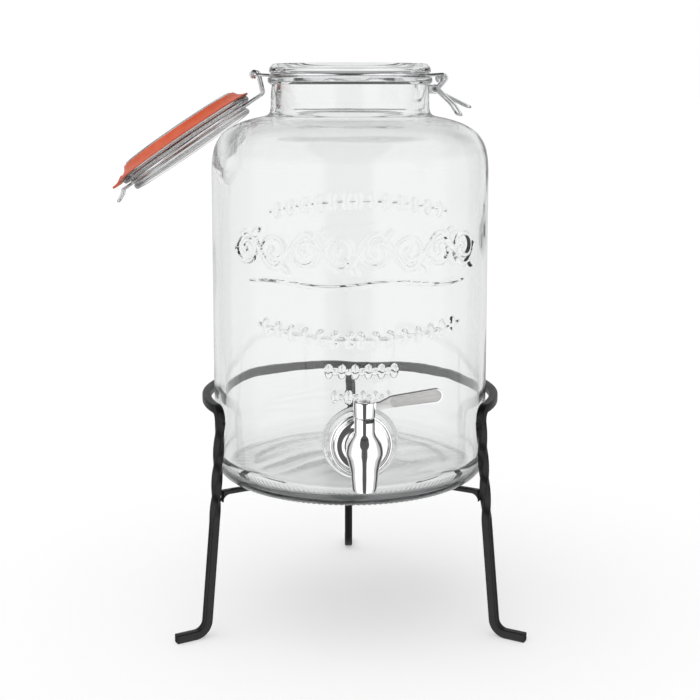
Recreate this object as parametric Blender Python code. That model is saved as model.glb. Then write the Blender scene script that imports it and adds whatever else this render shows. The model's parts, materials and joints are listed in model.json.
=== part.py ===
"""Two-gallon glass drinks jar with a clip-top lid and a lever tap, on a twisted steel bar stand.

All positions are in metres with +Z up. The jar's axis is vertical, the tap faces -Y and the lid opens
towards -X. Outlines of turned pieces are (radius, height) points and are closed round the section.
"""

import math

import bmesh
import bpy
from mathutils import Euler, Matrix, Vector

MM = 0.001
GAP = 0.3 * MM

# The assembly's place: the middle of its footprint, with the lid open, is the origin.
FOOTPRINT_SHIFT = Vector((24.3 * MM, 2.1 * MM, 0.0))

# Stand, bent and welded from square bar
BAR = 6.35 * MM
BAR_CORNER = 1.0 * MM
HOOP_RADIUS = 108.4 * MM
HOOP_HEIGHT = 167.0 * MM
HOOP_BEND = 7.0 * MM
STRAIGHT_END = 1.0 * MM
LEG_AZIMUTHS = {"front_left": -60.0, "front_right": 60.0, "back": 180.0}
LEG_KNEE = (114.1 * MM, 83.0 * MM)
LEG_SLOPE = math.radians(5.3)
FOOT_BEND = 10.0 * MM
FOOT_REACH = 145.0 * MM
TWIST = math.radians(270.0)
TWIST_TOP, TWIST_BOTTOM = 158.0 * MM, 86.0 * MM
STAND_TURN = math.radians(0.6)
ARM_INNER, ARM_OUTER = 79.0 * MM, 107.7 * MM
ARM_WIDTH, ARM_DEPTH = 5.0 * MM, 3.2 * MM
ARM_GUSSET = 5.5 * MM

# Jar
JAR_BOTTOM = 108.0 * MM
JAR_RADIUS = 102.5 * MM
JAR_WALL = 6.5 * MM
HEEL_OUTER, HEEL_INNER = 14.0 * MM, 12.0 * MM
FLOOR_HEIGHT = 116.2 * MM
JAR_STEPS = 40
BOSS_FACE = 103.5 * MM
BOSS_RADIUS = 24.6 * MM
BOSS_EDGE = 1.2 * MM

# Tap, in a frame turned about the jar's axis
TAP_TURN = math.radians(4.0)
TAP_HEIGHT = 156.0 * MM
SPOUT_REACH = 137.0 * MM
SPOUT_BOTTOM = 133.4 * MM
SHANK_RADIUS = 7.8 * MM
SHANK_HOLE = 8.4 * MM
SHANK_END = 80.0 * MM
WATERWAY_RADIUS = 4.3 * MM
WASHER_DEPTH = 1.6 * MM
FLANGE_RADIUS = 21.4 * MM
FLANGE_FACE = 110.6 * MM
INNER_SEAT = 94.6 * MM
REAR_WASHER_DEPTH = 2.0 * MM
NUT_DEPTH, NUT_RADIUS = 6.0 * MM, 12.2 * MM
PLUG_RADIUS = 5.3 * MM
PLUG_STEM = 3.4 * MM
PLUG_SHOULDER = 169.6 * MM
STEM_TOP = 183.0 * MM
HANDLE_TOP = 193.5 * MM
BLADE_THICKNESS = 3.2 * MM

# Lid and its wires; the hinge bar runs along Y
WIRE = 1.0 * MM
EYE = 2.4 * MM
HINGE = Vector((-69.8 * MM, 0.0, 406.6 * MM))
LID_REST = math.radians(-214.2)
LID_WIRE_HEIGHT = 14.4 * MM
LID_GROOVE_WIRE = 50.9 * MM
NECK_WIRE_RADIUS = 60.1 * MM
NECK_WIRE_HEIGHT = 406.0 * MM
HINGE_ARM_Y = 16.0 * MM
HOOK_Y = 12.0 * MM

# Latch: a lever on the neck band and a link on the lever
LATCH_BAR = Vector((67.5 * MM, 0.0, 404.0 * MM))
LINK_PIVOT = Vector((61.0 * MM, 0.0, 396.0 * MM))
LATCH_ARM_Y = 25.0 * MM
LATCH_BAR_END = 18.4 * MM
LEVER_Y = 20.0 * MM
LEVER_STEP = 2.4 * MM
LINK_Y = 17.0 * MM
LINK_LENGTH = 29.4 * MM
LINK_REST = math.radians(-26.0)

LOOKS = {
    "satin_black": {"colour": (0.02, 0.02, 0.022), "roughness": 0.45, "metallic": 0.0},
    "clear_glass": {"colour": (0.93, 0.95, 0.95), "roughness": 0.02, "metallic": 0.0, "clear": 1.0},
    "polished_chrome": {"colour": (0.82, 0.82, 0.83), "roughness": 0.08, "metallic": 1.0},
    "steel_wire": {"colour": (0.7, 0.7, 0.7), "roughness": 0.2, "metallic": 1.0},
    "orange_rubber": {"colour": (0.78, 0.13, 0.05), "roughness": 0.55, "metallic": 0.0},
    "black_rubber": {"colour": (0.03, 0.03, 0.03), "roughness": 0.7, "metallic": 0.0},
    "clear_rubber": {"colour": (0.75, 0.76, 0.76), "roughness": 0.5, "metallic": 0.0},
}


def clear_scene():
    for obj in list(bpy.data.objects):
        bpy.data.objects.remove(obj, do_unlink=True)


def look(name):
    """The named material, made the first time it is asked for."""
    found = bpy.data.materials.get(name)
    if found:
        return found
    values = LOOKS[name]
    made = bpy.data.materials.new(name)
    made.use_nodes = True
    shader = made.node_tree.nodes["Principled BSDF"]
    shader.inputs["Base Color"].default_value = (*values["colour"], 1.0)
    shader.inputs["Roughness"].default_value = values["roughness"]
    shader.inputs["Metallic"].default_value = values["metallic"]
    shader.inputs["Transmission Weight"].default_value = values.get("clear", 0.0)
    return made


def empty(name, parent=None, location=(0.0, 0.0, 0.0), rotation=(0.0, 0.0, 0.0)):
    made = bpy.data.objects.new(name, None)
    bpy.context.scene.collection.objects.link(made)
    made.parent = parent
    made.location = location
    made.rotation_euler = Euler(rotation)
    return made


def solid(name, bm, parent, look_name, location=(0.0, 0.0, 0.0), rotation=(0.0, 0.0, 0.0), smooth=True):
    """Turns a closed bmesh into the named object, with its faces pointing out."""
    bmesh.ops.recalc_face_normals(bm, faces=bm.faces)
    mesh = bpy.data.meshes.new(name)
    bm.to_mesh(mesh)
    bm.free()
    if smooth:
        mesh.shade_smooth()
        mesh.set_sharp_from_angle(angle=math.radians(40.0))
    made = bpy.data.objects.new(name, mesh)
    bpy.context.scene.collection.objects.link(made)
    made.parent = parent
    made.location = location
    made.rotation_euler = Euler(rotation)
    mesh.materials.append(look(look_name))
    return made


def arc(centre, radius, start, end, steps):
    """Points on a circle in a section plane, from one angle to another, in degrees."""
    angles = [math.radians(start + (end - start) * i / steps) for i in range(steps + 1)]
    return [(centre[0] + radius * math.cos(a), centre[1] + radius * math.sin(a)) for a in angles]


def turned(outline, steps):
    """A closed outline of (radius, height) points turned about Z. A radius of 0 lies on the axis."""
    bm = bmesh.new()
    rings = []
    for radius, height in outline:
        if radius < 1e-7:
            rings.append([bm.verts.new((0.0, 0.0, height))] * steps)
            continue
        angles = [2.0 * math.pi * i / steps for i in range(steps)]
        rings.append([bm.verts.new((radius * math.cos(a), radius * math.sin(a), height)) for a in angles])
    for index, ring in enumerate(rings):
        above = rings[(index + 1) % len(rings)]
        for i in range(steps):
            j = (i + 1) % steps
            corners = []
            for vert in (ring[i], ring[j], above[j], above[i]):
                if vert not in corners:
                    corners.append(vert)
            if len(corners) > 2:
                bm.faces.new(corners)
    return bm


def rounded(points, bends, steps=4):
    """A path through the points in which each inner corner is an arc of its own bend radius."""
    path = [Vector(points[0])]
    for before, corner, after, radius in zip(points, points[1:], points[2:], bends):
        back = (Vector(before) - Vector(corner)).normalized()
        ahead = (Vector(after) - Vector(corner)).normalized()
        turn = math.pi - back.angle(ahead)
        if radius <= 0.0 or turn < 0.01:
            path.append(Vector(corner))
            continue
        reach = radius * math.tan(turn / 2.0)
        start = Vector(corner) + back * reach
        across = (back + ahead).normalized()
        centre = Vector(corner) + across * (radius / math.cos(turn / 2.0))
        spin = (start - centre).cross(-back)
        for i in range(steps + 1):
            path.append(centre + Matrix.Rotation(turn * i / steps, 3, spin) @ (start - centre))
    path.append(Vector(points[-1]))
    return path


def square_section(side, corner):
    """The bar's outline: a square with cut corners."""
    half, flat = side / 2.0, side / 2.0 - corner
    return [(half, -flat), (half, flat), (flat, half), (-flat, half),
            (-half, flat), (-half, -flat), (-flat, -half), (flat, -half)]


def round_section(radius, sides=6):
    return [(radius * math.cos(2.0 * math.pi * i / sides), radius * math.sin(2.0 * math.pi * i / sides))
            for i in range(sides)]


def swept(path, section, side_at):
    """Carries a section along a path. side_at gives the section's first direction at each point."""
    bm = bmesh.new()
    rings = []
    last = len(path) - 1
    for index, point in enumerate(path):
        before = path[index - 1] if index else point
        after = path[index + 1] if index < last else point
        along = ((point - before).normalized() + (after - point).normalized()).normalized()
        side = side_at(index, point, along)
        side = (side - along * side.dot(along)).normalized()
        up = along.cross(side)
        rings.append([bm.verts.new(point + side * u + up * v) for u, v in section])
    count = len(section)
    for here, there in zip(rings, rings[1:]):
        for i in range(count):
            j = (i + 1) % count
            bm.faces.new((here[i], here[j], there[j], there[i]))
    bm.faces.new(rings[0])
    bm.faces.new(rings[-1])
    return bm


def wire(name, path, parent):
    """A round wire along a path, its section carried from point to point with no twist."""
    state = {"side": Vector((0.31, 0.87, 0.39))}

    def carried(_index, _point, along):
        side = state["side"] - along * state["side"].dot(along)
        state["side"] = side.normalized()
        return side

    return solid(name, swept(path, round_section(WIRE), carried), parent, "steel_wire")


def block(outline, low, high, lift):
    """Extrudes a flat outline between two distances. lift turns (u, v, distance) into a point."""
    bm = bmesh.new()
    near = [bm.verts.new(lift(u, v, low)) for u, v in outline]
    far = [bm.verts.new(lift(u, v, high)) for u, v in outline]
    count = len(outline)
    for i in range(count):
        j = (i + 1) % count
        bm.faces.new((near[i], near[j], far[j], far[i]))
    bm.faces.new(near)
    bm.faces.new(far)
    return bm


def cutter(name, bm, parent, location=(0.0, 0.0, 0.0), rotation=(0.0, 0.0, 0.0)):
    made = solid(name, bm, parent, "black_rubber", location, rotation, smooth=False)
    made.hide_render = True
    made.display_type = "WIRE"
    return made


def boolean(target, tool, operation):
    modifier = target.modifiers.new(tool.name, "BOOLEAN")
    modifier.operation = operation
    modifier.object = tool


def rod(radius, low, high, steps=24):
    """A plain cylinder about Z between two heights."""
    return turned([(0.0, low), (radius, low), (radius, high), (0.0, high)], steps)


def radial(azimuth):
    """Unit vector from the axis at an azimuth counted from -Y towards +X."""
    return Vector((math.sin(azimuth), -math.cos(azimuth), 0.0))


# Stand ---------------------------------------------------------------------------------------------


def stand_hoop(parent):
    """The bar round the back of the jar, bent down at both ends to meet the front legs."""
    front = math.radians(LEG_AZIMUTHS["front_right"])
    start = front + HOOP_BEND / HOOP_RADIUS
    steps = 44
    azimuths = [start + (2.0 * math.pi - 2.0 * start) * i / steps for i in range(steps + 1)]
    ring = [radial(a) * HOOP_RADIUS + Vector((0.0, 0.0, HOOP_HEIGHT)) for a in azimuths]
    bend_steps = 5
    path, sides = [], []
    for end, azimuth, direction in ((ring[0], azimuths[0], -1.0), (ring[-1], azimuths[-1], 1.0)):
        outward = radial(azimuth)
        ahead = Vector((0.0, 0.0, 1.0)).cross(outward) * direction
        for i in range(1, bend_steps + 1):
            angle = math.pi / 2.0 * i / bend_steps
            drop = HOOP_BEND * (1.0 - math.cos(angle))
            path.append(end + ahead * (HOOP_BEND * math.sin(angle)) - Vector((0.0, 0.0, drop)))
            sides.append(outward)
        path.append(path[-1] - Vector((0.0, 0.0, STRAIGHT_END)))
        sides.append(outward)
    path = path[bend_steps::-1] + ring + path[bend_steps + 1:]
    sides = sides[bend_steps::-1] + [radial(a) for a in azimuths] + sides[bend_steps + 1:]
    bm = swept(path, square_section(BAR, BAR_CORNER), lambda index, _point, _along: sides[index])
    return solid("stand_hoop", bm, parent, "satin_black")


def leg_profile(top):
    """The leg's centre line as (radius, height) points, from its top down to the foot's tip."""
    foot_height = BAR / 2.0
    corner = (LEG_KNEE[0] + (LEG_KNEE[1] - foot_height) * math.tan(LEG_SLOPE), foot_height)
    start = (HOOP_RADIUS, top)
    flat = rounded([(r, 0.0, z) for r, z in (start, LEG_KNEE, corner, (FOOT_REACH, foot_height))],
                   (60.0 * MM, FOOT_BEND), 7)
    flat = [flat[0], flat[0] - Vector((0.0, 0.0, STRAIGHT_END))] + flat[1:]
    fine = []
    for here, there in zip(flat, flat[1:]):
        pieces = max(1, round((here - there).length / (4.2 * MM))) if here.z > TWIST_BOTTOM else 1
        fine += [here.lerp(there, i / pieces) for i in range(pieces)]
    return fine + [flat[-1]]


def leg(name, azimuth, top, parent):
    outward = radial(azimuth)
    path = [outward * p.x + Vector((0.0, 0.0, p.z)) for p in leg_profile(top)]

    def side(_index, point, along):
        share = min(1.0, max(0.0, (TWIST_TOP - point.z) / (TWIST_TOP - TWIST_BOTTOM)))
        tangent = Vector((0.0, 0.0, 1.0)).cross(outward)
        return Matrix.Rotation(TWIST * share, 3, along) @ tangent

    return solid(name, swept(path, square_section(BAR, BAR_CORNER), side), parent, "satin_black")


def support_arm(name, azimuth, parent):
    """A short bar with a curved gusset, welded to the leg and reaching under the jar's heel."""
    top = JAR_BOTTOM - GAP
    under = top - ARM_DEPTH
    outline = [(ARM_INNER, top), (ARM_INNER, under)]
    outline += arc((ARM_OUTER - ARM_GUSSET, under - ARM_GUSSET), ARM_GUSSET, 90.0, 12.0, 5)
    outline += [(ARM_OUTER, under - ARM_GUSSET), (ARM_OUTER, top)]
    outward = radial(azimuth)
    across = Vector((0.0, 0.0, 1.0)).cross(outward)

    def lift(radius, height, distance):
        return outward * radius + across * distance + Vector((0.0, 0.0, height))

    return solid(name, block(outline, -ARM_WIDTH / 2.0, ARM_WIDTH / 2.0, lift), parent, "satin_black")


def build_stand(root):
    frame = empty("stand_frame", root, rotation=(0.0, 0.0, STAND_TURN))
    stand_hoop(frame)
    for name, degrees in LEG_AZIMUTHS.items():
        azimuth = math.radians(degrees)
        under_hoop = HOOP_HEIGHT - GAP - (BAR / 2.0 if name == "back" else HOOP_BEND + STRAIGHT_END)
        leg(name + "_leg", azimuth, under_hoop, frame)
        support_arm(name + "_support_arm", azimuth, frame)


# Jar -----------------------------------------------------------------------------------------------


def jar_outline():
    """Section of the glass, from the middle of its underside, up the outside and down the inside."""
    outside = [(0.0, 116.6), (40.0, 114.7), (66.0, 110.6), (73.0, 108.6), (79.0, 108.0)]
    heel = arc((JAR_RADIUS - HEEL_OUTER, JAR_BOTTOM + HEEL_OUTER), HEEL_OUTER, -90.0, 0.0, 6)
    shoulder = [(102.5, 334.0), (101.7, 347.0), (99.5, 356.0), (93.4, 364.9), (85.8, 369.7),
                (72.8, 374.3), (61.5, 376.7), (58.9, 379.5)]
    rim = [(58.1, 399.0), (60.6, 401.3), (60.6, 404.3), (58.4, 405.0), (58.4, 407.6), (59.6, 408.8),
           (56.7, 414.4), (50.4, 414.4), (49.0, 413.0), (49.0, 409.5), (51.5, 405.0)]
    inside = [(51.5, 379.0), (53.5, 371.2), (70.0, 367.7), (81.5, 363.4), (88.0, 359.0), (93.0, 352.0),
              (96.0, 338.0)]
    inner_radius = JAR_RADIUS - JAR_WALL
    hollow = arc((inner_radius - HEEL_INNER, FLOOR_HEIGHT + HEEL_INNER), HEEL_INNER, 0.0, -90.0, 5)
    floor = [(68.0, 117.3), (40.0, 121.4), (0.0, 123.6)]
    listed = [(r * MM, z * MM) for r, z in shoulder + rim + inside]
    return ([(r * MM, z * MM) for r, z in outside] + heel + listed + hollow
            + [(r * MM, z * MM) for r, z in floor])


def build_jar(frame, tap_mount):
    jar = solid("glass_jar", turned(jar_outline(), JAR_STEPS), frame, "clear_glass")
    sideways = (math.radians(90.0), 0.0, 0.0)
    height = Vector((0.0, 0.0, TAP_HEIGHT))
    inside_wall = JAR_RADIUS - JAR_WALL + 1.5 * MM
    boss = turned([(0.0, inside_wall), (BOSS_RADIUS, inside_wall), (BOSS_RADIUS, BOSS_FACE - BOSS_EDGE),
                   (BOSS_RADIUS - BOSS_EDGE, BOSS_FACE), (0.0, BOSS_FACE)], 32)
    boolean(jar, cutter("tap_boss", boss, tap_mount, height, sideways), "UNION")
    hole = rod(SHANK_HOLE, SHANK_END, FLANGE_FACE)
    boolean(jar, cutter("tap_hole", hole, tap_mount, height, sideways), "DIFFERENCE")
    return jar


# Tap -----------------------------------------------------------------------------------------------


def along_shank(name, outline, tap_mount, look_name, steps=32):
    """A turned piece on the shank's axis. Heights in its outline are distances from the jar's axis."""
    return solid(name, turned(outline, steps), tap_mount, look_name,
                 (0.0, 0.0, TAP_HEIGHT), (math.radians(90.0), 0.0, 0.0))


def ring_outline(inner, outer, low, high):
    return [(inner, low), (outer, low), (outer, high), (inner, high)]


def tap_body(tap_mount):
    """Vertical spout and stem housing, horizontal arm and threaded shank, all cast in one."""
    side = [(8.1, 135.2), (8.8, 141.2), (9.4, 147.1), (10.9, 153.0), (12.2, 157.5), (12.4, 160.0),
            (11.9, 163.5), (10.9, 166.2), (9.2, 168.9), (7.6, 171.2), (6.9, 173.0)]
    spout = [(0.0, SPOUT_BOTTOM), (7.2 * MM, SPOUT_BOTTOM)] + [(r * MM, z * MM) for r, z in side]
    spout += [(6.9 * MM, STEM_TOP - GAP), (0.0, STEM_TOP - GAP)]
    body = solid("tap_body", turned(spout, 28), tap_mount, "polished_chrome", (0.0, -SPOUT_REACH, 0.0))
    height = Vector((0.0, 0.0, TAP_HEIGHT))
    sideways = (math.radians(90.0), 0.0, 0.0)
    arm = turned([(0.0, SHANK_END), (SHANK_RADIUS, SHANK_END), (SHANK_RADIUS, FLANGE_FACE + GAP),
                  (10.5 * MM, FLANGE_FACE + GAP), (9.0 * MM, FLANGE_FACE + 4.0 * MM),
                  (8.6 * MM, SPOUT_REACH), (0.0, SPOUT_REACH)], 24)
    boolean(body, cutter("tap_arm", arm, tap_mount, height, sideways), "UNION")
    waterway = rod(WATERWAY_RADIUS, SHANK_END - 2.0 * MM, SPOUT_REACH, 16)
    boolean(body, cutter("tap_waterway", waterway, tap_mount, height, sideways), "DIFFERENCE")
    bore = turned([(0.0, SPOUT_BOTTOM - 2.0 * MM), (PLUG_RADIUS + GAP, SPOUT_BOTTOM - 2.0 * MM),
                   (PLUG_RADIUS + GAP, PLUG_SHOULDER), (PLUG_STEM + GAP, PLUG_SHOULDER),
                   (PLUG_STEM + GAP, STEM_TOP + 2.0 * MM), (0.0, STEM_TOP + 2.0 * MM)], 20)
    boolean(body, cutter("tap_bore", bore, tap_mount, (0.0, -SPOUT_REACH, 0.0)), "DIFFERENCE")
    return body


def tap_handle(tap_axis):
    """Round cap and lever blade in one casting. Rest is closed, with the blade pointing to +X."""
    low = STEM_TOP + GAP
    screw_hole, screw_seat, stem_seat = 1.7 * MM, 191.3 * MM, 188.6 * MM
    cap = [(screw_hole, screw_seat), (3.4 * MM, screw_seat), (3.4 * MM, HANDLE_TOP), (7.0 * MM, HANDLE_TOP),
           (7.6 * MM, HANDLE_TOP - 0.6 * MM), (7.2 * MM, low), (PLUG_STEM + GAP, low),
           (PLUG_STEM + GAP, stem_seat), (screw_hole, stem_seat)]
    handle = solid("tap_handle", turned(cap, 28), tap_axis, "polished_chrome")
    outline = [(5.6, 187.5), (9.1, 187.7), (18.3, 188.9)] + arc((46.4, 196.9), 4.9, -83.0, 98.0, 7)
    outline += [(19.0, 197.5), (16.6, 197.0), (12.0, 194.6), (9.4, 193.2), (5.6, 193.0)]

    def lift(across, height, distance):
        return Vector((across, distance, height))

    blade = block([(u * MM, v * MM) for u, v in outline], -BLADE_THICKNESS / 2.0, BLADE_THICKNESS / 2.0, lift)
    boolean(handle, cutter("tap_blade", blade, tap_axis), "UNION")
    return handle


def valve_plug(tap_axis):
    """Turning plug with its stem, an o-ring groove and a side port that leads down to the spout."""
    outline = [(0.0, 150.0), (5.3, 150.0), (5.3, 169.2), (3.4, 169.2), (3.4, 174.8), (2.5, 174.8),
               (2.5, 176.6), (3.4, 176.6), (3.4, 188.2), (1.0, 188.2), (1.0, 180.0), (0.0, 180.0)]
    plug = solid("valve_plug", turned([(r * MM, z * MM) for r, z in outline], 20), tap_axis, "steel_wire")
    down = rod(3.2 * MM, 145.0 * MM, 160.0 * MM, 12)
    boolean(plug, cutter("plug_outlet", down, tap_axis), "DIFFERENCE")
    height, towards_back = (0.0, 0.0, TAP_HEIGHT), (0.0, math.radians(-90.0), 0.0)
    port = cutter("plug_port", rod(3.0 * MM, 0.0, 8.0 * MM, 12), tap_axis, height, towards_back)
    boolean(plug, port, "DIFFERENCE")
    return plug


def lock_nut(tap_mount, face):
    """Hexagon nut on the shank inside the jar; face is its outer face's distance from the jar's axis."""
    hexagon = [(NUT_RADIUS * math.cos(math.radians(60.0 * i)), NUT_RADIUS * math.sin(math.radians(60.0 * i)))
               for i in range(6)]
    bm = block(hexagon, face - NUT_DEPTH, face, lambda u, v, d: Vector((u, v, d)))
    height, sideways = (0.0, 0.0, TAP_HEIGHT), (math.radians(90.0), 0.0, 0.0)
    nut = solid("lock_nut", bm, tap_mount, "steel_wire", height, sideways)
    thread = rod(SHANK_RADIUS + GAP, face - NUT_DEPTH - 1.0 * MM, face + 1.0 * MM)
    boolean(nut, cutter("nut_thread", thread, tap_mount, height, sideways), "DIFFERENCE")
    return nut


def build_tap(tap_mount):
    boss_gap = BOSS_FACE + GAP
    washer_face = boss_gap + WASHER_DEPTH
    along_shank("front_washer", ring_outline(SHANK_HOLE, 15.5 * MM, boss_gap, washer_face), tap_mount,
                "clear_rubber")
    flange_back = washer_face + GAP
    along_shank("tap_flange", [(SHANK_HOLE, flange_back), (FLANGE_RADIUS, flange_back),
                               (FLANGE_RADIUS, flange_back + 2.0 * MM),
                               (FLANGE_RADIUS - 1.4 * MM, flange_back + 3.2 * MM),
                               (FLANGE_RADIUS - 4.0 * MM, flange_back + 3.4 * MM),
                               (12.0 * MM, FLANGE_FACE), (SHANK_HOLE, FLANGE_FACE)], tap_mount,
                "polished_chrome")
    washer_back = INNER_SEAT - REAR_WASHER_DEPTH
    along_shank("rear_washer", ring_outline(SHANK_HOLE, 13.0 * MM, washer_back, INNER_SEAT), tap_mount,
                "black_rubber", 24)
    lock_nut(tap_mount, washer_back - GAP)
    tap_body(tap_mount)
    tap_axis = empty("tap_axis", tap_mount, (0.0, -SPOUT_REACH, 0.0))
    valve_plug(tap_axis)
    ring = [(r * MM, z * MM) for r, z in arc((3.12, 175.7), 0.45, 0.0, 315.0, 7)]
    solid("stem_o_ring", turned(ring, 20), tap_axis, "black_rubber")
    tap_handle(tap_axis)
    screw = [(0.0, 182.0), (0.75, 182.0), (0.75, 191.6), (3.0, 191.6), (3.0, 192.8), (2.2, 193.6),
             (0.0, 193.9)]
    solid("handle_screw", turned([(r * MM, z * MM) for r, z in screw], 16), tap_axis, "polished_chrome")


# Neck band, lid and latch ---------------------------------------------------------------------------


def circle_path(centre, radius, start, end, y_start, y_end, step=24.0):
    """Points round a centre in the XZ plane, in degrees, while y moves from one value to another."""
    count = max(2, round(abs(end - start) / step))
    path = []
    for i in range(count + 1):
        angle = math.radians(start + (end - start) * i / count)
        y = y_start + (y_end - y_start) * i / count
        path.append(Vector((centre.x + radius * math.cos(angle), y, centre.z + radius * math.sin(angle))))
    return path


def mirrored(path):
    """The same path on the other side of the XZ plane, run backwards."""
    return [Vector((p.x, -p.y, p.z)) for p in reversed(path)]


def neck_band(frame):
    """One wire: a ring in the neck's groove, pulled out into a hinge bar at the back of the lid. At the
    front its two ends turn in towards each other, as the pins that the latch lever swings on."""
    latch_angle = math.degrees(math.asin(LATCH_ARM_Y / NECK_WIRE_RADIUS))
    hinge_angle = math.degrees(math.asin(HINGE_ARM_Y / NECK_WIRE_RADIUS))
    count = 24
    ring = []
    for i in range(count + 1):
        angle = math.radians(latch_angle + (180.0 - latch_angle - hinge_angle) * i / count)
        ring.append(Vector((NECK_WIRE_RADIUS * math.cos(angle), NECK_WIRE_RADIUS * math.sin(angle),
                            NECK_WIRE_HEIGHT)))
    latch = rounded([(LATCH_BAR.x, LATCH_BAR_END, LATCH_BAR.z), (LATCH_BAR.x, LATCH_ARM_Y, LATCH_BAR.z),
                     (LATCH_BAR.x + 0.6 * MM, LATCH_ARM_Y, NECK_WIRE_HEIGHT + 0.8 * MM), ring[0]],
                    (1.6 * MM, 1.3 * MM), 3)
    hinge = rounded([ring[-1], (HINGE.x, HINGE_ARM_Y, HINGE.z), (HINGE.x, 0.0, HINGE.z)], (2.2 * MM,), 4)
    half = latch + ring[1:-1] + hinge
    return wire("neck_band", half + mirrored(half)[1:], frame)


def lid_glass(hinge):
    """Solid glass plug with a flange, a wire groove and a flat top; heights are from the plug's end."""
    outline = [(0.0, 5.0), (20.0, 4.4), (36.0, 2.6), (42.5, 0.6), (44.0, 0.0), (46.2, 0.0), (47.3, 1.2),
               (47.3, 9.0), (55.0, 9.0), (55.7, 9.8), (55.5, 11.6), (54.6, 12.5), (50.6, 12.5), (49.5, 13.3),
               (49.5, 15.7), (50.3, 16.6), (51.0, 17.4), (51.0, 19.6), (50.2, 20.5), (0.0, 20.5)]
    return solid("lid_glass", turned([(r * MM, z * MM) for r, z in outline], JAR_STEPS), hinge,
                 "clear_glass", (-HINGE.x, 0.0, 0.0))


def lid_gasket(hinge):
    """Rubber ring stretched over the plug, so that it stands as a cone, with a pull tab."""
    outline = [(47.8, 2.4), (47.8, 1.4), (48.8, 1.2), (51.0, 4.6), (57.2, 7.2), (57.2, 8.2), (55.6, 8.4),
               (50.2, 6.2)]
    ring = solid("lid_gasket", turned([(r * MM, z * MM) for r, z in outline], JAR_STEPS), hinge,
                 "orange_rubber", (-HINGE.x, 0.0, 0.0))
    tab = [(54.2, 5.4), (57.0, 6.8), (61.0, 8.2), (65.0, 8.6), (65.0, 10.1), (60.6, 9.8), (57.4, 8.7),
           (54.2, 6.9)]
    tongue = block([(u * MM, v * MM) for u, v in tab], -8.0 * MM, 8.0 * MM, lambda u, v, d: Vector((u, d, v)))
    boolean(ring, cutter("gasket_tab", tongue, hinge, (-HINGE.x, 0.0, 0.0)), "UNION")
    return ring


def lid_wire(hinge):
    """One wire: a hook round the hinge bar, a ring in the lid's groove with a nose, and the other hook."""
    centre_x = -HINGE.x
    level = LID_WIRE_HEIGHT
    shoulder = Vector((2.9 * MM, HOOK_Y, level))
    away = math.hypot(shoulder.x, shoulder.z)
    leave = math.degrees(math.atan2(shoulder.z, shoulder.x) + math.acos(EYE / away))
    hook = circle_path(Vector((0.0, 0.0, 0.0)), EYE, 400.0, leave, HOOK_Y, HOOK_Y)
    start = math.asin(HOOK_Y / LID_GROOVE_WIRE)
    nose_half = 4.6 * MM
    end = math.pi - math.asin(nose_half / LID_GROOVE_WIRE)
    count = 22
    ring = []
    for i in range(count + 1):
        angle = math.pi - (start + (end - start) * i / count)
        ring.append(Vector((centre_x + LID_GROOVE_WIRE * math.cos(angle), LID_GROOVE_WIRE * math.sin(angle),
                            level)))
    leg_path = rounded([hook[-1], shoulder, ring[0]], (3.0 * MM,), 4)
    nose = rounded([ring[-1], (centre_x + 59.4 * MM, nose_half, level),
                    (centre_x + 62.2 * MM, nose_half, level + 2.7 * MM),
                    (centre_x + 67.5 * MM, nose_half - 0.8 * MM, level + 5.2 * MM),
                    (centre_x + 67.5 * MM, 0.0, level + 5.2 * MM)], (1.2 * MM, 1.2 * MM, 1.8 * MM), 3)
    half = hook + leg_path[1:] + ring[1:-1] + nose
    return wire("lid_wire", half + mirrored(half)[1:], hinge)


def clamp_lever(pivot):
    """One wire: an eye on the latch bar, a short arm, a coil for the link and the bent handle."""
    arm = LINK_PIVOT - LATCH_BAR
    lean = math.degrees(math.atan2(arm.z, arm.x))
    handle = [Vector((p[0] * MM, LEVER_Y + LEVER_STEP, p[1] * MM)) - LATCH_BAR
              for p in ((69.0, 391.3), (76.0, 384.8), (80.6, 377.4))]
    leave = math.degrees(math.atan2(handle[0].z - arm.z - EYE, handle[0].x - arm.x - EYE))
    eye = circle_path(Vector((0.0, 0.0, 0.0)), EYE, lean + 380.0, lean + 90.0, LEVER_Y, LEVER_Y)
    coil = circle_path(arm, EYE, lean + 90.0, leave + 90.0 - 360.0, LEVER_Y, LEVER_Y + LEVER_STEP)
    bow = rounded([coil[-1], *handle, (handle[-1].x, 0.0, handle[-1].z)],
                  (20.0 * MM, 20.0 * MM, 3.2 * MM), 4)
    half = eye + coil[:-1] + bow
    return wire("clamp_lever", half + mirrored(half)[1:], pivot)


def clamp_link(pivot):
    """A U of wire whose two ends turn outwards through the lever's coils."""
    reach = Vector((math.cos(LINK_REST), 0.0, math.sin(LINK_REST))) * LINK_LENGTH
    across = Vector((0.0, 1.0, 0.0))
    half = rounded([across * (LEVER_Y + LEVER_STEP + 3.0 * MM), across * LINK_Y, reach + across * LINK_Y,
                    reach], (2.0 * MM, 3.0 * MM), 4)
    return wire("clamp_link", half + mirrored(half)[1:], pivot)


def main():
    clear_scene()
    root = empty("assembly", location=FOOTPRINT_SHIFT)
    build_stand(root)
    jar_slide = empty("jar_slide", root)
    tap_mount = empty("tap_mount", jar_slide, rotation=(0.0, 0.0, TAP_TURN))
    build_jar(jar_slide, tap_mount)
    build_tap(tap_mount)
    neck_band(jar_slide)
    lid_hinge = empty("lid_hinge", jar_slide, HINGE, (0.0, LID_REST, 0.0))
    lid_glass(lid_hinge)
    lid_gasket(lid_hinge)
    lid_wire(lid_hinge)
    lever_pivot = empty("clamp_lever_pivot", jar_slide, LATCH_BAR)
    clamp_lever(lever_pivot)
    link_pivot = empty("clamp_link_pivot", lever_pivot, LINK_PIVOT - LATCH_BAR)
    clamp_link(link_pivot)


main()
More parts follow.
